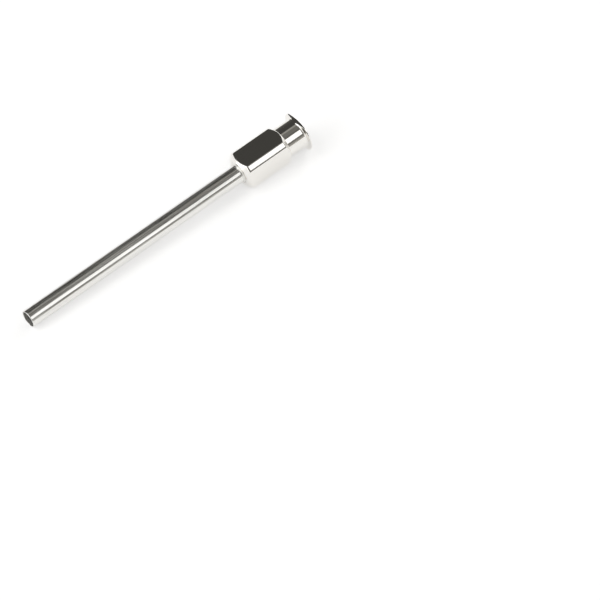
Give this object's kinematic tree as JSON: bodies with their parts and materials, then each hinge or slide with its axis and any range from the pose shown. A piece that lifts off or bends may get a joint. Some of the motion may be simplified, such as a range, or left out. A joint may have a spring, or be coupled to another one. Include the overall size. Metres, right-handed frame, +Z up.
{
  "type": "metal hub syringe needle",
  "caption": "Blunt stainless steel needle soldered into a square nickel-plated brass hub with a round neck, a flatted locking flange and a tapered socket.",
  "frame": {"origin": "middle of the footprint, on the surface that the needle lies on", "axes": "+X along the needle from its tip towards its hub, +Z up, +Y to the left of the needle seen from its tip"},
  "size_m": [0.0628, 0.0078, 0.0065],
  "materials": {
    "nickel_plated_brass": "bright nickel plate over turned and milled brass",
    "stainless_tube": "drawn and polished",
    "solder": "smooth, as it set"
  },
  "bodies": {
    "root": {"hub": "nickel_plated_brass", "cannula": "stainless_tube", "solder_fillet": "solder"}
  },
  "joints": []
}
